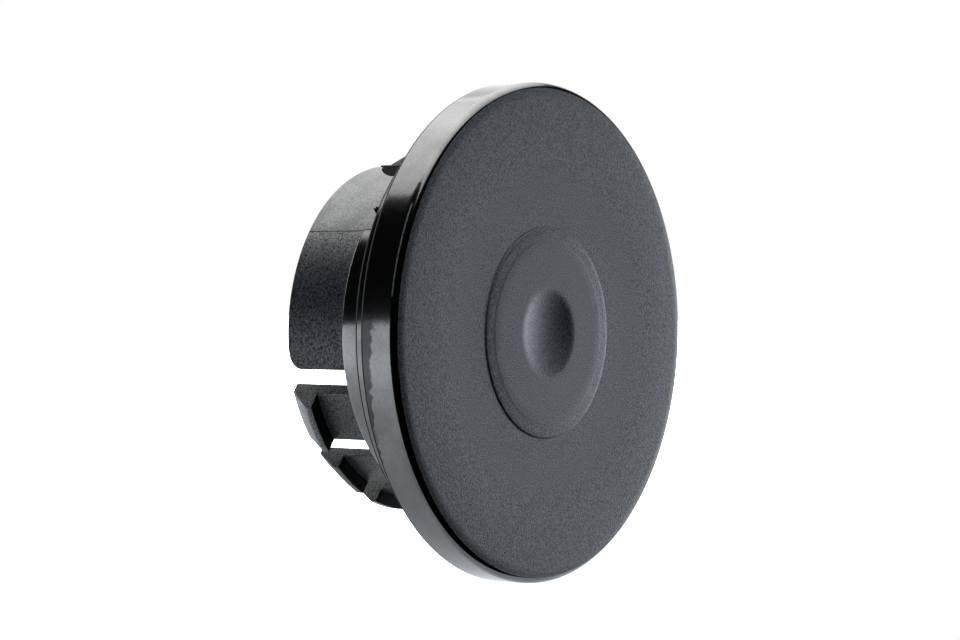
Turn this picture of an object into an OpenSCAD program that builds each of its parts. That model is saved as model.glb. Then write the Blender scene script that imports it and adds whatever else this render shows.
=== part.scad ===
// Snap-in cover plug for a camshaft bore, moulded in one piece.
// It is drawn face up about the Z axis, with height 0 at the seat, and then turned
// so that its face looks along -Y and its spigot points along +Y.

/* [Flange] */
// Outside diameter of the flange
flange_d = 60; // [58:0.5:70]
// Thickness of the flange's rim
flange_t = 4.8; // [4:0.1:7]
// Rounding of the rim's front edge
edge_r = 0.6; // [0.4:0.1:1.5]
// Rounding of the rim's back edge
back_r = 0.4; // [0.2:0.1:0.8]
// How far the step behind the rim stands back from the rim's edge
step_back = 2.4; // [1.2:0.1:4]
// Height of that step, which seats on the housing
step_t = 2.7; // [1.5:0.1:4]
// Width of the seat, from the step's edge in to the groove
seat_w = 2.4; // [1.6:0.1:4]
// Thickness of the front wall
front_t = 3; // [2:0.1:4]

/* [Face] */
// Diameter of the raised pad
pad_d = 26; // [20:0.5:34]
// Height of the small step round the pad
pad_step = 0.12; // [0.05:0.01:0.5]
// Further rise over the pad's sloped border
pad_rise = 0.2; // [0.05:0.01:0.4]
// Width of that sloped border
pad_slope_w = 1.6; // [0.8:0.1:3]
// Diameter of the dimple in the middle of the pad
dimple_d = 10.3; // [6:0.1:14]
// Depth of the dimple
dimple_depth = 0.9; // [0.3:0.1:1.5]

/* [Spigot] */
// Diameter of the collar that fills the housing's bore
collar_d = 42; // [36:0.2:48]
// Wall of the collar
collar_t = 1.7; // [1.4:0.1:3]
// Length of the collar behind the seat
collar_l = 7.1; // [5:0.1:10]
// How far the two plain walls stand back from the collar
wall_back = 0.2; // [0.1:0.1:0.6]
// Rounding between the hollow and the front wall
floor_round = 1.2; // [0.5:0.1:2]
// How far the plain walls reach behind the seat
spigot_l = 15.5; // [14:0.1:20]
// Rounding of each plain wall's rear corner
corner_r = 1.6; // [0.5:0.1:2.5]
// Radius of the curve that cuts back the other end of each plain wall
relief_r = 7.8; // [6:0.1:9]
// How far that curve cuts into the wall
relief_w = 3; // [2:0.1:5]
// Where that curve cuts deepest, behind the collar
relief_l = 1.2; // [0.5:0.1:3]

/* [Snap fingers] */
// Direction of the first group of fingers, turned from +X towards +Z
group_angle = 54.4; // [0:0.1:180]
// Fingers in a group
finger_count = 3; // [1:1:3]
// Width of a finger
finger_w = 5.9; // [4:0.1:6.5]
// Width of a slot beside a finger
slot_w = 2.6; // [1.5:0.1:3]
// How far the fingers stand back from the collar
finger_back = 0.6; // [0.2:0.1:0.8]
// How far the hooks stand out past the collar
hook_out = 1.1; // [0.6:0.1:2]
// How far the fingers reach past the plain walls
finger_more = 0.6; // [0.1:0.1:1.5]
// Length of a hook, from its catch to the finger's end
hook_l = 3.8; // [2:0.1:5]
// Length of the flat land on a hook's edge
hook_land = 0.9; // [0.2:0.1:1.2]
// How far the hook's ramp falls from the land to the finger's end
ramp_fall = 1.8; // [0.5:0.1:2]
// How much wider the last finger's hook is, beside the wall's curved end
end_hook_more = 1.2; // [0:0.1:2]
// Width of the shoulder without a hook at that finger's edge
shoulder_w = 1; // [0.6:0.1:2]
// How far the shoulder stands back from the collar
shoulder_back = 0.4; // [0.2:0.1:0.8]
// Gap between that shoulder and the wall
end_gap = 1.1; // [0.6:0.1:1.6]

/* [Notch] */
// How far the small notch in the collar is turned from the middle of the plain wall
notch_turn = 10.1; // [0:0.1:20]
// Width of the notch at the end towards the flange
notch_w = 3; // [1:0.1:4]
// Length of the notch, from its point on
notch_l = 3; // [1.5:0.1:5]
// Depth of the notch
notch_depth = 1.2; // [0.5:0.1:1.5]
// How far the notch's point reaches past the collar
notch_past = 0.4; // [0:0.1:1]

/* [Hidden] */
$fn = 128;
// How far a cutting shape runs past what it cuts, and a wall into the collar
over = 1;

flange_r = flange_d / 2;
step_r = flange_r - step_back;
collar_r = collar_d / 2;
wall_r = collar_r - wall_back;
hollow_r = collar_r - collar_t;
finger_r = collar_r - finger_back;
hook_r = collar_r + hook_out;
tip_r = hook_r - ramp_fall;
shoulder_r = collar_r - shoulder_back;
pad_r = pad_d / 2;
dimple_r = dimple_d / 2;
groove_r = step_r - seat_w;

face_h = step_t + flange_t;
floor_h = face_h - front_t;
pad_h = face_h + pad_step + pad_rise;
finger_l = spigot_l + finger_more;
catch_h = hook_l - finger_l;
root_h = over - collar_l;

finger_pitch = finger_w + slot_w;
// From the middle of a group to the edges of its even fingers, of the wider hook and of its shoulder
even_edge = (finger_count * finger_pitch - slot_w) / 2;
hook_edge = even_edge + end_hook_more;
shoulder_edge = hook_edge + shoulder_w;

// A sphere through the dimple's rim and its lowest point
dimple_ball_r = (dimple_r * dimple_r + dimple_depth * dimple_depth) / (2 * dimple_depth);

// Half section of the rim, rounded at the front and a little at the back
module rim_section() {
    square([flange_r - edge_r, flange_t]);
    translate([0, back_r])
        square([flange_r, flange_t - edge_r - back_r]);
    translate([flange_r - edge_r, flange_t - edge_r])
        circle(edge_r);
    translate([flange_r - back_r, back_r])
        circle(back_r);
}

// Half section of the raised pad: a small upright step, then a gentle slope to its flat top
module pad_section() {
    polygon([
        [0, -over],
        [pad_r, -over],
        [pad_r, pad_step],
        [pad_r - pad_slope_w, pad_step + pad_rise],
        [0, pad_step + pad_rise],
    ]);
}

// Half section of the hollow inside the spigot, rounded where it meets the front wall
module hollow_section() {
    hollow_l = spigot_l + floor_h + over;
    translate([0, -spigot_l - over]) {
        square([hollow_r, hollow_l - floor_round]);
        square([hollow_r - floor_round, hollow_l]);
        translate([hollow_r - floor_round, hollow_l - floor_round])
            circle(floor_round);
    }
}

// Half section of the groove between the collar and the seat
module groove_section() {
    difference() {
        translate([0, -over])
            square([groove_r, floor_h + over]);
        translate([0, -2 * over])
            square([collar_r, floor_h + 3 * over]);
    }
}

// Flange, pad and collar in one turn, with the hollow and the groove behind the seat cored out
module flange_and_collar() {
    rotate_extrude()
        difference() {
            union() {
                translate([0, step_t])
                    rim_section();
                square([step_r, step_t + back_r]);
                translate([0, face_h])
                    pad_section();
                translate([0, -collar_l])
                    square([collar_r, collar_l + over]);
            }
            translate([0, pad_h - dimple_depth + dimple_ball_r])
                circle(dimple_ball_r);
            hollow_section();
            groove_section();
        }
}

// Outline of the walls on both sides of a group of fingers, seen along the group's direction.
// One ends at the gap in a rounded corner, the other is cut back by a long curve.
module wall_outline() {
    left = even_edge + slot_w;
    right = shoulder_edge + end_gap;
    wall_l = spigot_l + root_h;
    translate([-left - collar_r, -spigot_l]) {
        square([collar_r - corner_r, wall_l]);
        translate([0, corner_r])
            square([collar_r, wall_l - corner_r]);
        translate([collar_r - corner_r, corner_r])
            circle(corner_r);
    }
    difference() {
        translate([right, -spigot_l])
            square([collar_r, wall_l]);
        translate([right + relief_w - relief_r, -collar_l - relief_l])
            circle(relief_r);
    }
}

// The two plain walls, each in two halves that meet midway between the groups
module plain_walls() {
    intersection() {
        rotate_extrude()
            translate([hollow_r, -spigot_l - over])
                square([wall_r - hollow_r, spigot_l + root_h + 2 * over]);
        for (side = [0, 180])
            rotate([0, 0, group_angle + side])
                rotate([90, 0, 90])
                    linear_extrude(flange_r)
                        wall_outline();
    }
}

// Half section of a finger: thin wall, square catch, flat land, then a ramp to the end
module finger_section() {
    polygon([
        [hollow_r, root_h],
        [finger_r, root_h],
        [finger_r, catch_h],
        [hook_r, catch_h],
        [hook_r, catch_h - hook_land],
        [tip_r, -finger_l],
        [hollow_r, -finger_l],
    ]);
}

// Two opposite groups of snap fingers; the slots of a group run parallel, and its last finger is wider
module snap_fingers() {
    last = finger_count - 1;
    intersection() {
        rotate_extrude()
            finger_section();
        for (side = [0, 180], i = [0 : last])
            rotate([0, 0, group_angle + side])
                translate([0, i * finger_pitch - even_edge, -finger_l - over])
                    cube([flange_r, i == last ? finger_w + end_hook_more : finger_w, finger_l + over]);
    }
}

// The shoulder without a hook at the edge of each group's last finger
module shoulders() {
    intersection() {
        rotate_extrude()
            translate([hollow_r, -finger_l])
                square([shoulder_r - hollow_r, finger_l + root_h]);
        for (side = [0, 180])
            rotate([0, 0, group_angle + side])
                translate([0, hook_edge, -finger_l - over])
                    cube([flange_r, shoulder_w, finger_l + over]);
    }
}

// Small pointed notch in the collar, widening towards the flange
module collar_notch() {
    rotate([0, 0, group_angle + 90 - notch_turn])
        translate([collar_r - notch_depth, 0, -collar_l - notch_past])
            rotate([90, 0, 90])
                linear_extrude(notch_depth + over)
                    polygon([[0, 0], [notch_w, notch_l], [0, notch_l]]);
}

module plug() {
    color("#2d2f31")
        rotate([90, 0, 0])
            difference() {
                union() {
                    flange_and_collar();
                    plain_walls();
                    snap_fingers();
                    shoulders();
                }
                collar_notch();
            }
}

plug();
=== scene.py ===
import math

import bmesh
import bpy
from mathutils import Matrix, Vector


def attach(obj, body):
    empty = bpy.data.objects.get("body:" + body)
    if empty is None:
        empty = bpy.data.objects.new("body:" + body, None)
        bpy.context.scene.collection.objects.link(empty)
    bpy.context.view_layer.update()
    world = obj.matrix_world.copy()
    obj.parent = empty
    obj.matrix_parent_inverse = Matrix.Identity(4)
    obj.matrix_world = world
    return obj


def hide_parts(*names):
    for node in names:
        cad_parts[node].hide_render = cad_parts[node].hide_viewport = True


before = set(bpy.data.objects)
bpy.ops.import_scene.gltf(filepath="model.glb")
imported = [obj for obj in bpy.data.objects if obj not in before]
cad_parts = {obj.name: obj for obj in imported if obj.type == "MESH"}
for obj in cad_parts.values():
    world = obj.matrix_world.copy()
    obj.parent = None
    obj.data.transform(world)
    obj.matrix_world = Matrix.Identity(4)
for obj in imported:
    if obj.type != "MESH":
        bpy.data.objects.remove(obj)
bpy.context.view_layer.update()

# Plug
# One injection moulding in black filled nylon: a round flange with a raised pad on its face,
# and behind it a hollow spigot that clips into the bore with two groups of hooked fingers.
mm = 0.001
near = 0.01 * mm
face_y = -7.6 * mm
rim_r = 30.0 * mm
rim_front_round = 1.0 * mm
rim_back_y = -2.7 * mm
rim_back_round = 0.4 * mm
step_r = 27.6 * mm
step_root_round = 0.25 * mm
step_round = 0.4 * mm
seat_round = 0.2 * mm
groove_r = 25.2 * mm
groove_round = 0.4 * mm
floor_y = -4.5 * mm
floor_round = 1.2 * mm
collar_r = 21.0 * mm
collar_y = 7.1 * mm
collar_round = 0.1 * mm
wall_r = 20.8 * mm
finger_r = 20.4 * mm
hollow_r = 19.3 * mm
end_y = 15.5 * mm
pad_r = 12.6 * mm
pad_step = 0.1 * mm
pad_round = 0.03 * mm
pad_slope_w = 1.6 * mm
pad_lip_w = 0.06 * mm
pad_lip = 0.02 * mm
pad_y = -7.82 * mm
dimple_r = 5.15 * mm
dimple_depth = 0.9 * mm
dimple_ball_r = (dimple_r ** 2 + dimple_depth ** 2) / (2 * dimple_depth)
crest_r = 25.0 * mm
crest_w = 7.0 * mm
crest_h = 0.16 * mm


def arc(r, y, radius, start, end, steps):
    """Points of a section's rounding about (r, y), from one angle to another in degrees."""
    turns = [math.radians(start + (end - start) * i / steps) for i in range(steps + 1)]
    return [(r + radius * math.cos(a), y + radius * math.sin(a)) for a in turns]


def straight(r0, y0, r1, y1, steps):
    """Points along a straight stretch of a section, with both ends."""
    return [(r0 + (r1 - r0) * i / steps, y0 + (y1 - y0) * i / steps) for i in range(steps + 1)]


# The dimple is part of a ball, and its edge runs out softly into the pad
soft_turn = 18
soft_cos = math.cos(math.radians(soft_turn))
dimple_fall = dimple_ball_r * soft_cos - dimple_ball_r + dimple_depth
soft_r = dimple_fall / (1 - soft_cos)
soft_end = (dimple_ball_r + soft_r) * math.sin(math.radians(soft_turn))
section = arc(0, pad_y + dimple_depth - dimple_ball_r, dimple_ball_r, 90, 90 - soft_turn, 14)
section += arc(soft_end, pad_y + soft_r, soft_r, -90 - soft_turn, -90, 6)[1:]

# The pad's border slopes between a small lip at its top and an upright step at its edge
slope_r = pad_r - pad_slope_w
edge_y = face_y - pad_step
section += straight(soft_end + 0.6 * mm, pad_y, slope_r - 0.1 * mm, pad_y, 4)
section += [(slope_r, pad_y + pad_lip / 2), (slope_r + pad_lip_w, pad_y + pad_lip)]
section += straight(slope_r + 0.2 * mm, pad_y + pad_lip * 1.5, pad_r - 0.08 * mm, edge_y - 0.005 * mm, 3)
section += [(pad_r - pad_round * 2 / 3, edge_y + pad_round / 3), (pad_r, edge_y + pad_round)]
section += [(pad_r, face_y - pad_round), (pad_r + pad_round, face_y)]

# The face swells a little round its outer half
for r, y in straight(pad_r + 0.3 * mm, face_y, rim_r - rim_front_round - 0.3 * mm, face_y, 24):
    crest = math.exp(-((r - crest_r) / crest_w) ** 2)
    section.append((r, y - crest_h * crest))

# Rim, step, seat, groove, collar and hollow; points close to a rounding keep the flats beside it flat
section += arc(rim_r - rim_front_round, face_y + rim_front_round, rim_front_round, -90, 0, 10)
section += straight(rim_r, face_y + rim_front_round + 0.3 * mm,
                    rim_r, rim_back_y - rim_back_round - 0.1 * mm, 3)
section += arc(rim_r - rim_back_round, rim_back_y - rim_back_round, rim_back_round, 0, 90, 5)
section += [(step_r + step_root_round * 2, rim_back_y)]
section += arc(step_r + step_root_round, rim_back_y + step_root_round, step_root_round, -90, -180, 3)
section += [(step_r, rim_back_y + 0.6 * mm), (step_r, -step_round - 0.2 * mm)]
section += arc(step_r - step_round, -step_round, step_round, 0, 90, 5)
section += arc(groove_r + seat_round, -seat_round, seat_round, 90, 180, 3)
section += [(groove_r, -0.8 * mm), (groove_r, floor_y + groove_round * 2)]
section += arc(groove_r - groove_round, floor_y + groove_round, groove_round, 0, -90, 3)
section += arc(collar_r + groove_round, floor_y + groove_round, groove_round, -90, -180, 3)
section += straight(collar_r, floor_y + 1 * mm, collar_r, collar_y - 0.4 * mm, 3)
section += arc(collar_r - collar_round, collar_y - collar_round, collar_round, 0, 90, 3)
section += [(wall_r, collar_y), (finger_r, collar_y), (hollow_r, collar_y)]
section += straight(hollow_r, collar_y - 1 * mm, hollow_r, floor_y + floor_round + 0.3 * mm, 3)
section += arc(hollow_r - floor_round, floor_y + floor_round, floor_round, 0, -90, 6)
section += straight(hollow_r - floor_round - 0.4 * mm, floor_y, 0, floor_y, 5)

# The mesh's columns follow the edges of fingers, slots and walls, counted from the middle of a group
group_turns = [math.radians(54.4), math.radians(234.4)]
finger_w = 5.9 * mm
slot_w = 2.6 * mm
end_hook_more = 1.2 * mm
shoulder_w = 1.0 * mm
end_gap = 1.1 * mm
even_edge = 1.5 * finger_w + slot_w
gap_edge = even_edge + slot_w
hook_edge = even_edge + end_hook_more
shoulder_edge = hook_edge + shoulder_w
wall_edge = shoulder_edge + end_gap
relief_r = 7.8 * mm
relief_w = 3.0 * mm
relief_t = wall_edge + relief_w - relief_r
relief_y = collar_y + 1.2 * mm
corner_r = 1.6 * mm
seam_w = math.radians(0.35)


def relief_edge(y):
    """How far from a group's middle plane the cut-back end of a plain wall lies at a height."""
    rise = relief_r ** 2 - (y - relief_y) ** 2
    return max(wall_edge, relief_t + math.sqrt(max(rise, 0)))


def corner_edge(y):
    """The same for the end of a plain wall that has a rounded corner."""
    rise = max(0, y - end_y + corner_r)
    return gap_edge + corner_r - math.sqrt(max(corner_r ** 2 - rise ** 2, 0))


def turn_at(t, r):
    """Angle from a group's middle at which a circle meets a plane parallel to that middle."""
    return math.asin(max(-1, min(1, t / r)))


edges = [-gap_edge, -even_edge, -even_edge + finger_w, -finger_w / 2, finger_w / 2,
         even_edge - finger_w, hook_edge, shoulder_edge, relief_edge(collar_y)]
stops = [turn_at(t, finger_r) for t in edges]
stops += [math.pi / 2 - seam_w, math.pi / 2, math.pi - turn_at(gap_edge, finger_r)]
first_finger, hook_end, shoulder_end = stops[1], stops[6], stops[7]
seam_start, seam_end = stops[9], stops[10]
columns = [4, 10, 4, 10, 4, 12, 3, 8, 18, 1, 26]
finger_parts = (1, 3, 5, 6)
wall_parts = (8, 9, 10)

bm = bmesh.new()
start = group_turns[0] + stops[0]
ring = [bm.verts.new((r * math.cos(start), y, r * math.sin(start))) for r, y in section]
last = ring + [bm.edges.new(pair) for pair in zip(ring, ring[1:])]
for _ in group_turns:
    for begin, end, count in zip(stops, stops[1:], columns):
        spun = bmesh.ops.spin(bm, geom=last, cent=(0, 0, 0), axis=(0, -1, 0),
                              angle=end - begin, steps=count)
        last = spun["geom_last"]
bmesh.ops.remove_doubles(bm, verts=bm.verts, dist=0.002 * mm)
bmesh.ops.recalc_face_normals(bm, faces=bm.faces)


def place(co):
    """The group that a point belongs to, and its angle from that group's middle."""
    slack = 1e-5
    past_start = math.atan2(co.z, co.x) - group_turns[0] - stops[0] + slack
    side = int(past_start % math.tau > math.pi)
    return group_turns[side], past_start % math.pi + stops[0] - slack


def put(vert, turn, r, y):
    """Moves a corner of the mesh to an angle, a radius and a height along the axis."""
    vert.co = (r * math.cos(turn), y, r * math.sin(turn))


def radius(co):
    """Distance of a point from the axis."""
    return math.hypot(co.x, co.z)


def share_at(away):
    """Place along a wall: 0 to 1 above its parting line, 1 to 2 across the parting line, 2 to 3 below it.
    """
    part = max([wall_parts[0]] + [i for i in wall_parts if away > stops[i] - 1e-6])
    return part - wall_parts[0] + (away - stops[part]) / (stops[part + 1] - stops[part])


def wall_turn(share, r, y):
    """Angle of a wall's column: one end follows the long curve, the other the rounded corner."""
    marks = [turn_at(relief_edge(y), r), seam_start, seam_end, math.pi - turn_at(corner_edge(y), r)]
    part = max(0, min(2, int(share)))
    return marks[part] + (marks[part + 1] - marks[part]) * (share - part)


def draw_out(faces):
    """Draws faces out of the mesh and gives the new faces and their corners, still in place."""
    drawn = bmesh.ops.extrude_face_region(bm, geom=faces)["geom"]
    bmesh.ops.delete(bm, geom=faces, context="FACES")
    new_faces = [g for g in drawn if isinstance(g, bmesh.types.BMFace)]
    return new_faces, [g for g in drawn if isinstance(g, bmesh.types.BMVert)]


rear_faces = [f for f in bm.faces if all(abs(v.co.y - collar_y) < near for v in f.verts)]
wall_faces = {middle: [] for middle in group_turns}
finger_faces = []
for f in rear_faces:
    centre = f.calc_center_median()
    middle, away = place(centre)
    part = max(i for i in range(len(columns)) if away >= stops[i])
    if part in wall_parts and radius(centre) < wall_r:
        wall_faces[middle].append(f)
    if part in finger_parts and radius(centre) < finger_r:
        finger_faces.append(f)

# The collar's rear loops are turned so that both sides of a slot lie in parallel planes
share_of = bm.verts.layers.float.new("share")
turned = {}
for v in {v for f in rear_faces for v in f.verts}:
    middle, away = place(v.co)
    share = share_at(away)
    v[share_of] = share
    if share < 1e-5:
        turned[v] = middle + turn_at(finger_r * math.sin(away), radius(v.co))
    else:
        turned[v] = middle + wall_turn(share, radius(v.co), collar_y)
wall_verts = {middle: {v for f in faces for v in f.verts} for middle, faces in wall_faces.items()}
for v, turn in turned.items():
    put(v, turn, radius(v.co), collar_y)

# Plain walls are drawn out of the collar level by level; their upper ends fall in a little
wall_levels = [7.3, 7.8, 8.3, 9.3, 10.3, 11.2, 12.1, 12.9, 13.5,
               13.9, 14.3, 14.65, 14.95, 15.2, 15.37, 15.5]
end_fall = 0.22 * mm
for middle, faces in wall_faces.items():
    for v in wall_verts[middle]:
        if v[share_of] < -0.01:
            v[share_of] = 3
    for level in wall_levels:
        faces, corners = draw_out(faces)
        for v in corners:
            r = radius(v.co)
            if level == wall_levels[0] and r > finger_r + 0.1 * mm and v[share_of] < 1.01:
                r -= end_fall * (1 - v[share_of]) ** 2
            put(v, middle + wall_turn(v[share_of], r, level * mm), r, level * mm)

# Fingers, with a hook drawn out of each one's outer side; the shoulder beside the last one has none
catch_y = 12.3 * mm
land_y = 13.2 * mm
finger_y = 16.1 * mm
hook_r = 22.1 * mm
tip_r = 20.3 * mm
tip_root_r = tip_r - 0.1 * mm
shoulder_r = 20.6 * mm
hair = 0.001
for level in (catch_y, land_y, finger_y):
    finger_faces, corners = draw_out(finger_faces)
    for v in corners:
        v.co.y = level
outer = [f for f in bm.faces
         if all(abs(radius(v.co) - finger_r) < near and v.co.y > catch_y - near for v in f.verts)
         and place(f.calc_center_median())[1] < hook_end]
for v in {v for f in finger_faces for v in f.verts}:
    middle, away = place(v.co)
    if abs(radius(v.co) - finger_r) < near and away < hook_end + hair:
        put(v, middle + turn_at(finger_r * math.sin(away), tip_root_r), tip_root_r, finger_y)
_, corners = draw_out(outer)
for v in corners:
    middle, away = place(v.co)
    r = tip_r if v.co.y > finger_y - near else hook_r
    put(v, middle + turn_at(radius(v.co) * math.sin(away), r), r, v.co.y)
for v in bm.verts:
    middle, away = place(v.co)
    on_side = v.co.y > collar_y + near and abs(radius(v.co) - finger_r) < near
    if on_side and hook_end + hair < away < shoulder_end + hair:
        put(v, middle + turn_at(finger_r * math.sin(away), shoulder_r), shoulder_r, v.co.y)


def on_collar_end(vert):
    """Whether a corner lies on the collar's rear end, outside the plain walls."""
    return abs(vert.co.y - collar_y) < near and radius(vert.co) > wall_r - 0.05 * mm


# Every edge of the spigot has the small rounding that a mould leaves
bm.normal_update()
sharp = [e for e in bm.edges
         if e.is_manifold and e.calc_face_angle() > math.radians(40)
         and min(v.co.y for v in e.verts) > collar_y - near
         and not all(on_collar_end(v) for v in e.verts)]
bmesh.ops.bevel(bm, geom=sharp, offset=0.12 * mm, offset_type="OFFSET", affect="EDGES",
                segments=2, profile=0.5, material=-1)
bmesh.ops.recalc_face_normals(bm, faces=bm.faces)


def plastic(name, colour, roughness, shine, smear, grain, depth, mottle, wave):
    """Black moulded nylon: grain of a given size and depth, mottled tone, slow waves, smeared gloss."""
    made = bpy.data.materials.new(name)
    made.use_nodes = True
    nodes, links = made.node_tree.nodes, made.node_tree.links
    shader = nodes["Principled BSDF"]
    where = nodes.new("ShaderNodeTexCoord")

    def noise(size, detail):
        made_noise = nodes.new("ShaderNodeTexNoise")
        made_noise.inputs["Scale"].default_value = 1 / size
        made_noise.inputs["Detail"].default_value = detail
        links.new(where.outputs["Object"], made_noise.inputs["Vector"])
        return made_noise.outputs["Fac"]

    def spread(value, low, high):
        scaled = nodes.new("ShaderNodeMapRange")
        scaled.inputs["From Min"].default_value = 0.3
        scaled.inputs["From Max"].default_value = 0.7
        scaled.inputs["To Min"].default_value = low
        scaled.inputs["To Max"].default_value = high
        links.new(value, scaled.inputs["Value"])
        return scaled.outputs["Result"]

    fine = noise(size=grain, detail=3)
    slow = noise(size=3 * mm, detail=3)
    smudge = noise(size=4 * mm, detail=6)
    ripple = nodes.new("ShaderNodeBump")
    ripple.inputs["Distance"].default_value = wave
    links.new(slow, ripple.inputs["Height"])
    bump = nodes.new("ShaderNodeBump")
    bump.inputs["Distance"].default_value = depth
    links.new(fine, bump.inputs["Height"])
    links.new(ripple.outputs["Normal"], bump.inputs["Normal"])
    links.new(bump.outputs["Normal"], shader.inputs["Normal"])
    tint = nodes.new("ShaderNodeVectorMath")
    tint.operation = "SCALE"
    tint.inputs[0].default_value = colour
    speckle = spread(fine, 1 - mottle, 1 + mottle)
    links.new(speckle, tint.inputs["Scale"])
    links.new(tint.outputs["Vector"], shader.inputs["Base Color"])
    uneven = roughness * smear / 3
    links.new(spread(slow, roughness - uneven, roughness + uneven), shader.inputs["Roughness"])
    gloss = nodes.new("ShaderNodeMath")
    gloss.operation = "MULTIPLY"
    links.new(spread(smudge, shine * (1 - smear), shine * (1 + smear)), gloss.inputs[0])
    links.new(speckle, gloss.inputs[1])
    shader.inputs["Specular IOR Level"].default_value = shine
    links.new(gloss.outputs["Value"], shader.inputs["Specular IOR Level"])
    return made


RIM, FACE, WALL, EVEN, FINGER, PAINTED_SHADE = range(6)
finishes = [
    plastic("smooth_rim", (0.0006, 0.0007, 0.0008), roughness=0.13, shine=0.75, smear=0.2,
            grain=0.25 * mm, depth=0.003 * mm, mottle=0.1, wave=0.012 * mm),
    plastic("grained_face", (0.017, 0.024, 0.03), roughness=0.55, shine=0.45, smear=0,
            grain=0.17 * mm, depth=0.035 * mm, mottle=0.7, wave=0),
    plastic("grained_wall", (0.004, 0.0055, 0.007), roughness=0.4, shine=0.66, smear=0.1,
            grain=0.24 * mm, depth=0.025 * mm, mottle=0.95, wave=0.01 * mm),
    plastic("even_wall", (0.01, 0.0115, 0.0125), roughness=0.35, shine=0.56, smear=0.25,
            grain=0.3 * mm, depth=0.02 * mm, mottle=0.4, wave=0.02 * mm),
    plastic("grained_finger", (0.003, 0.004, 0.005), roughness=0.5, shine=0.28, smear=0.1,
            grain=0.24 * mm, depth=0.02 * mm, mottle=0.8, wave=0),
    # Painted shade: a near-black dull finish for lines and faces that lie in shade
    plastic("painted_shade", (0.001, 0.001, 0.001), roughness=0.7, shine=0.06, smear=0,
            grain=0.25 * mm, depth=0.01 * mm, mottle=0.2, wave=0),
]


def wear(finish, loss, borders):
    """Takes gloss off a finish where all borders fade in: direction, raggedness, start and end of each."""
    nodes, links = finish.node_tree.nodes, finish.node_tree.links
    where = nodes.new("ShaderNodeTexCoord")
    ragged = nodes.new("ShaderNodeTexNoise")
    ragged.inputs["Scale"].default_value = 1 / (1.3 * mm)
    links.new(where.outputs["Object"], ragged.inputs["Vector"])
    gloss = nodes["Principled BSDF"].inputs["Specular IOR Level"]
    kept = 1 - loss
    for direction, rag, begin, end in borders:
        along = nodes.new("ShaderNodeVectorMath")
        along.operation = "DOT_PRODUCT"
        along.inputs[1].default_value = direction
        links.new(where.outputs["Object"], along.inputs[0])
        border = nodes.new("ShaderNodeMath")
        border.operation = "MULTIPLY_ADD"
        border.inputs[1].default_value = rag
        links.new(ragged.outputs["Fac"], border.inputs[0])
        links.new(along.outputs["Value"], border.inputs[2])
        fade = nodes.new("ShaderNodeMapRange")
        fade.interpolation_type = "SMOOTHSTEP"
        fade.inputs["From Min"].default_value = begin
        fade.inputs["From Max"].default_value = end
        fade.inputs["To Min"].default_value = 1
        links.new(border.outputs["Value"], fade.inputs["Value"])
        if isinstance(kept, float):
            fade.inputs["To Max"].default_value = kept
        else:
            links.new(kept, fade.inputs["To Max"])
        kept = fade.outputs["Result"]
    worn = nodes.new("ShaderNodeMath")
    worn.operation = "MULTIPLY"
    links.new(gloss.links[0].from_socket, worn.inputs[0])
    links.new(kept, worn.inputs[1])
    links.new(worn.outputs["Value"], gloss)


# The rim is dull in a ragged strip along its back edge, left of the plug and below its middle
wear(finishes[RIM], 0.7, [((0, 1, 0.09), 1.6 * mm, -3.75 * mm, -3.45 * mm),
                          ((0, 1, 0), 0, -2.3 * mm, -2.6 * mm),
                          ((1, 0, 0), 0, -24.5 * mm, -26 * mm),
                          ((0, 0, 1), 0, 3 * mm, 1 * mm)])
# The plain walls lose gloss downwards
wear(finishes[WALL], 0.78, [((0, 0, 1), 0, 13 * mm, 3.5 * mm)])


def finish_of(f):
    """Which finish a face has, by its place on the moulding."""
    centre = f.calc_center_median()
    middle, away = place(centre)
    out = radius(centre)
    behind_collar = centre.y > collar_y
    on_spigot = 20 * mm < out < 21.2 * mm
    on_step = abs(out - step_r) < 0.2 * mm and centre.y > rim_back_y

    # The grain ends on the rim's front rounding; along the left side a band of the lighter face finish on
    # the rounding is a painted highlight line
    on_face = centre.y < face_y + 0.75 * mm and out < rim_r - 0.66 * rim_front_round
    height = math.degrees(math.asin(max(-1, min(1, centre.z / rim_r))))
    over_edge = math.degrees(math.atan2(face_y + rim_front_round - centre.y,
                                        out - rim_r + rim_front_round))
    painted_highlight = 18 < over_edge < 27 and out > step_r and centre.x < 0 and 8 < height < 31
    if on_face or painted_highlight:
        return FACE

    # Painted shade: the back roundings of rim and step, the parting line, the catches' fronts and the
    # shoulder's side get a near-black dull finish that stands for the shade there
    behind_rim = out > rim_r - rim_back_round and centre.y > rim_back_y - rim_back_round
    behind_step = step_r - step_round < out < step_r and centre.y > -step_round
    on_seam = on_spigot and seam_start < away < seam_end
    on_catch = f.normal.y < -0.7 and abs(centre.y - catch_y) < 0.1 * mm
    across = Vector((-math.sin(middle), 0, math.cos(middle)))
    on_shoulder_side = hook_end < away < shoulder_end + 0.06 and f.normal.dot(across) > 0.7
    if behind_rim or behind_step or on_seam or on_catch or behind_collar and on_shoulder_side:
        return PAINTED_SHADE

    # Fingers, the walls' even upper parts and their grained lower parts
    margin = 0.02
    if behind_collar and first_finger - margin < away < shoulder_end + margin:
        return FINGER
    if (on_spigot or on_step) and shoulder_end + margin < away < seam_start:
        return EVEN
    if behind_collar or on_spigot and shoulder_end < away < seam_end:
        return WALL
    return RIM


for f in bm.faces:
    f.smooth = True
    f.material_index = finish_of(f)

mesh = bpy.data.meshes.new("plug_body")
bm.to_mesh(mesh)
bm.free()
for finish in finishes:
    mesh.materials.append(finish)
plug = bpy.data.objects.new("plug_body", mesh)
bpy.context.collection.objects.link(plug)

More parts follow.
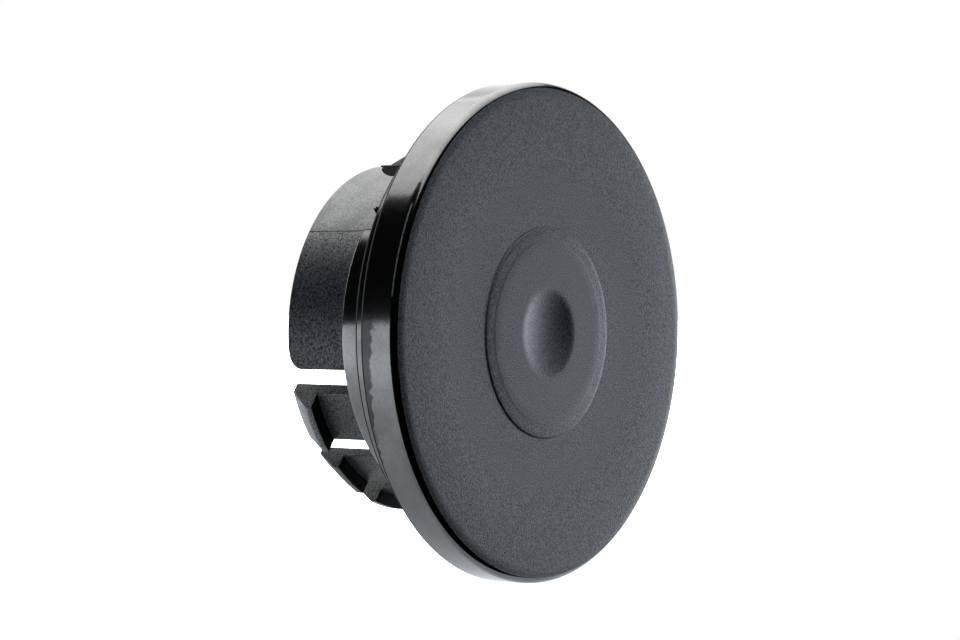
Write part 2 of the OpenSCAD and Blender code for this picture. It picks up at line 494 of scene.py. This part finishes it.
# A small pointed notch is cut into the collar
notch_turn = math.radians(134.3)
notch_w = 3.0 * mm
notch_l = 3.0 * mm
notch_point_y = collar_y + 0.4 * mm
notch_back_y = notch_point_y - notch_l
notch_floor_r = 19.8 * mm
notch_reach = 2 * mm
notch_out = Vector((math.cos(notch_turn), 0, math.sin(notch_turn)))
notch_side = Vector((-math.sin(notch_turn), 0, math.cos(notch_turn)))
notch_shape = [(0, notch_point_y), (notch_w, notch_back_y), (0, notch_back_y)]
bm = bmesh.new()
corners = [bm.verts.new(notch_out * notch_floor_r + notch_side * t + Vector((0, y, 0)))
           for t, y in notch_shape]
wedge = bmesh.ops.extrude_face_region(bm, geom=[bm.faces.new(corners)], use_keep_orig=True)["geom"]
wedge_top = [g for g in wedge if isinstance(g, bmesh.types.BMVert)]
bmesh.ops.translate(bm, vec=notch_out * notch_reach, verts=wedge_top)
bmesh.ops.recalc_face_normals(bm, faces=bm.faces)
cutter = bpy.data.objects.new("notch", bpy.data.meshes.new("notch"))
bm.to_mesh(cutter.data)
bm.free()
bpy.context.collection.objects.link(cutter)
cut = plug.modifiers.new("notch", "BOOLEAN")
cut.object = cutter
cut.solver = "EXACT"
notched = plug.evaluated_get(bpy.context.evaluated_depsgraph_get())
plug.data = bpy.data.meshes.new_from_object(notched)
plug.modifiers.remove(cut)
bpy.data.objects.remove(cutter)
weigh = plug.modifiers.new("even_normals", "WEIGHTED_NORMAL")
weigh.keep_sharp = True
weigh.weight = 60
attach(plug, "root")
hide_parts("plug")

# Floor
# A white light table that the rim stands on, close to the table's front edge.
# Its left edge is turned up, and the rim mirrors it below the black of the dark room.
table_half = 1.6
front_edge_y = -0.0085
turned_up_h = 0.16
bm = bmesh.new()
bmesh.ops.create_grid(bm, x_segments=1, y_segments=1, size=table_half)
left_edge = [e for e in bm.edges if all(v.co.x < 0 for v in e.verts)]
drawn = bmesh.ops.extrude_edge_only(bm, edges=left_edge)["geom"]
turned_up = [g for g in drawn if isinstance(g, bmesh.types.BMVert)]
bmesh.ops.translate(bm, vec=(0, 0, turned_up_h), verts=turned_up)
bmesh.ops.translate(bm, vec=(0, table_half + front_edge_y, -rim_r), verts=bm.verts)
floor = bpy.data.objects.new("floor", bpy.data.meshes.new("floor"))
bm.to_mesh(floor.data)
bm.free()
bpy.context.collection.objects.link(floor)
white = bpy.data.materials.new("light_table")
white.use_nodes = True
nodes, links = white.node_tree.nodes, white.node_tree.links
table = nodes["Principled BSDF"]
table.inputs["Base Color"].default_value = (0.25, 0.25, 0.25, 1)
table.inputs["Roughness"].default_value = 0.8
table.inputs["Emission Color"].default_value = (0.91, 0.98, 1.04, 1)
# The table glows least within 4.5 cm of the plug and reaches full glow at 13 cm: a painted shadow of the
# plug
spot = nodes.new("ShaderNodeTexCoord")
away_from_plug = nodes.new("ShaderNodeVectorMath")
away_from_plug.operation = "LENGTH"
glow_and_painted_shadow = nodes.new("ShaderNodeMapRange")
glow_and_painted_shadow.inputs["From Min"].default_value = 0.045
glow_and_painted_shadow.inputs["From Max"].default_value = 0.13
glow_and_painted_shadow.inputs["To Min"].default_value = 1.15
glow_and_painted_shadow.inputs["To Max"].default_value = 3.8
links.new(spot.outputs["Object"], away_from_plug.inputs[0])
links.new(away_from_plug.outputs["Value"], glow_and_painted_shadow.inputs["Value"])
links.new(glow_and_painted_shadow.outputs["Result"], table.inputs["Emission Strength"])
floor.data.materials.append(white)

# Light
# A dark room with a wide soft box above, a pale screen far behind at the right, a soft box
# behind for the spigot's open end, and a cool soft box at the right that grazes the face.
world = bpy.data.worlds.new("room")
world.use_nodes = True
nodes, links = world.node_tree.nodes, world.node_tree.links
paths = nodes.new("ShaderNodeLightPath")
seen = nodes.new("ShaderNodeMix")
seen.data_type = "RGBA"
seen.inputs["A"].default_value = (0.003, 0.003, 0.003, 1)
seen.inputs["B"].default_value = (1, 1, 1, 1)
links.new(paths.outputs["Is Camera Ray"], seen.inputs["Factor"])
links.new(seen.outputs["Result"], nodes["Background"].inputs["Color"])
bpy.context.scene.world = world


def soft_box(name, stand, aim, size, power, spread=180, colour=(1, 1, 1)):
    """A rectangular lamp that stands at one point and looks at another."""
    lamp = bpy.data.objects.new(name, bpy.data.lights.new(name, "AREA"))
    lamp.data.shape = "RECTANGLE"
    lamp.data.size, lamp.data.size_y = size
    lamp.data.energy = power
    lamp.data.color = colour
    lamp.data.spread = math.radians(spread)
    lamp.location = stand
    lamp.rotation_euler = (Vector(aim) - Vector(stand)).to_track_quat("-Z", "Y").to_euler()
    bpy.context.collection.objects.link(lamp)


soft_box("overhead", stand=(0.21, 0.02, 0.5), aim=(0.21, 0.02, 0), size=(0.9, 1.0), power=9.5, spread=128)
soft_box("screen", stand=(0.85, 0.62, 0.36), aim=(0, 0, 0.36), size=(1.1, 0.8), power=4.2)
soft_box("behind", stand=(0.15, 1.0, 0.35), aim=(0, 0, 0), size=(0.6, 0.6), power=7)
soft_box("right", stand=(1.27, -0.29, -0.1), aim=(0, 0, 0), size=(0.5, 0.5), power=8.2,
         colour=(0.92, 1, 1.08))

# Camera
# It stands at the height of the plug's axis, beside the face, with a long lens.
camera = bpy.data.objects.new("camera", bpy.data.cameras.new("camera"))
camera.data.sensor_width = 36
camera.data.lens = 109.83
camera.data.clip_start = 0.01
camera.location = (-0.28824, -0.20782, 0.00745)
camera.rotation_euler = (math.pi / 2 - math.radians(0.963), 0, math.radians(-53.895))
bpy.context.collection.objects.link(camera)
bpy.context.scene.camera = camera
bpy.context.scene.view_settings.view_transform = "Standard"

bpy.context.view_layer.update()
